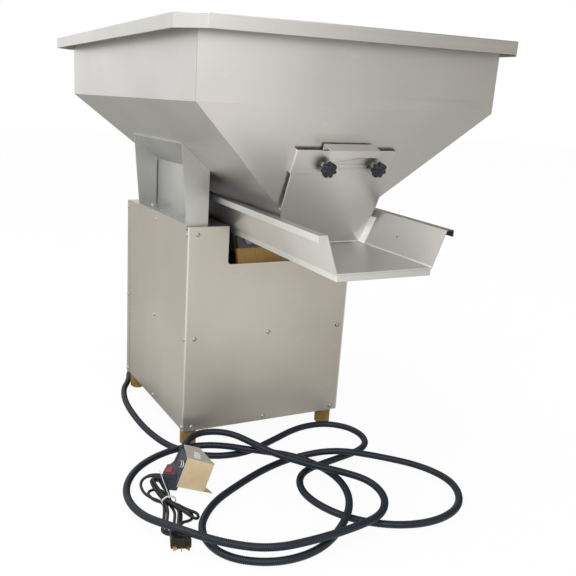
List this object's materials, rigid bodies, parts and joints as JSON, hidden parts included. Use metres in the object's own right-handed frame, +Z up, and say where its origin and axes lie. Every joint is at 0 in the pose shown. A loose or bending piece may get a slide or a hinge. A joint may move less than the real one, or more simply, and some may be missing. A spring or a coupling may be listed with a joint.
{
  "type": "vibrating feeder",
  "caption": "Steel hopper with a chamfered rim and slide gate over a sprung, magnet-driven trough on a screwed cabinet, with a black conduit to a small speed control.",
  "frame": {"origin": "on the floor, under the middle of the body's length and width, its cords left out", "axes": "+Z up, -Y towards the discharge end of the trough, +X to the right seen from that end"},
  "size_m": [0.6439, 0.9027, 0.764],
  "materials": {
    "hopper_steel": "satin stainless",
    "gate_steel": "satin stainless",
    "cabinet_steel": "satin stainless",
    "frame_steel": "plain folded steel",
    "bracket_steel": "bright folded steel",
    "trough_steel": "polished stainless",
    "fastener_steel": "bright zinc",
    "amber_rubber": "smooth amber polyurethane",
    "isolator_rubber": "black rubber",
    "spring_laminate": "ochre glass laminate",
    "drive_iron": "painted castings",
    "magnet_iron": "bare laminations",
    "coil_wrap": "varnished coil",
    "knob_plastic": "moulded black",
    "conduit_skin": "ribbed black sheath",
    "gland_plastic": "moulded black",
    "control_steel": "bright folded steel",
    "control_plastic": "moulded black",
    "dial_plastic": "moulded black",
    "rocker_plastic": "moulded red",
    "lead_rubber": "black sheath",
    "tie_plastic": "white twist tie",
    "pin_brass": "bright brass"
  },
  "bodies": {
    "frame": {"hopper_rim": "hopper_steel", "hopper_front_sheet": "hopper_steel", "hopper_rear_sheet": "hopper_steel", "hopper_left_sheet": "hopper_steel", "hopper_right_sheet": "hopper_steel", "gate_bar": "gate_steel", "front_panel": "cabinet_steel", "rear_panel": "cabinet_steel", "left_panel": "cabinet_steel", "right_panel": "cabinet_steel", "deck_plate": "cabinet_steel", "base_plate": "frame_steel", "post_front_left": "frame_steel", "post_front_right": "frame_steel", "post_rear_left": "frame_steel", "post_rear_right": "frame_steel", "mid_rails": "frame_steel", "drive_pillars": "frame_steel", "left_bracket": "bracket_steel", "right_bracket": "bracket_steel", "panel_screws": "fastener_steel", "foot_bolts": "fastener_steel", "bracket_bolts": "fastener_steel", "gate_nuts": "fastener_steel", "base_clamp_bolts": "fastener_steel", "foot_front_left": "amber_rubber", "foot_front_right": "amber_rubber", "foot_rear_left": "amber_rubber", "foot_rear_right": "amber_rubber", "isolators": "isolator_rubber", "front_leaf_springs": "spring_laminate", "rear_leaf_springs": "spring_laminate", "vibrator_base": "drive_iron", "base_clamp_bars": "drive_iron", "magnet_core": "magnet_iron", "magnet_coil": "coil_wrap", "conduit": "conduit_skin", "rear_gland": "gland_plastic", "box_gland": "gland_plastic", "lead_gland": "gland_plastic", "control_bracket": "control_steel", "control_body": "control_plastic", "switch_box": "control_plastic", "mains_lead": "lead_rubber", "mains_hank": "lead_rubber", "mains_tail": "lead_rubber", "plug_body": "lead_rubber", "hank_tie": "tie_plastic", "plug_pins": "pin_brass"},
    "tray": {"trough": "trough_steel", "trough_pan": "trough_steel", "tray_bracket": "drive_iron", "armature": "magnet_iron", "tray_clamp_bars": "drive_iron", "tray_clamp_bolts": "fastener_steel"},
    "gate": {"gate_plate": "gate_steel"},
    "knob_left": {"left_knob": "knob_plastic"},
    "knob_right": {"right_knob": "knob_plastic"},
    "rocker": {"power_rocker": "rocker_plastic"},
    "dial": {"speed_knob": "dial_plastic"}
  },
  "joints": [
    {"name": "tray_vibration", "type": "slide", "parent": "frame", "child": "tray", "axis": [0, -0.9397, 0.342], "range_m": [-0.001, 0.001], "stiffness_N_per_m": 150000, "springref_m": 0.0004, "deforming": ["front_leaf_springs", "rear_leaf_springs"]},
    {"name": "gate_lift", "type": "slide", "parent": "frame", "child": "gate", "axis": [0, -0.3621, 0.9321], "range_m": [0, 0.06]},
    {"name": "left_knob_turn", "type": "hinge", "parent": "frame", "child": "knob_left", "pos_m": [-0.032, -0.28729, 0.55975], "axis": [0, -0.9321, -0.3621], "range_deg": [0, 720]},
    {"name": "right_knob_turn", "type": "hinge", "parent": "frame", "child": "knob_right", "pos_m": [0.062, -0.28729, 0.55975], "axis": [0, -0.9321, -0.3621], "range_deg": [0, 720]},
    {"name": "power_rocker_tip", "type": "hinge", "parent": "frame", "child": "rocker", "pos_m": [-0.24867, -0.19856, 0.029], "axis": [0.81, -0.5864, 0], "range_deg": [-16, 0]},
    {"name": "speed_knob_turn", "type": "hinge", "parent": "frame", "child": "dial", "pos_m": [-0.2361, -0.23417, 0.0577], "axis": [-0.9389, 0.107, 0.3272], "range_deg": [-270, 0]}
  ]
}
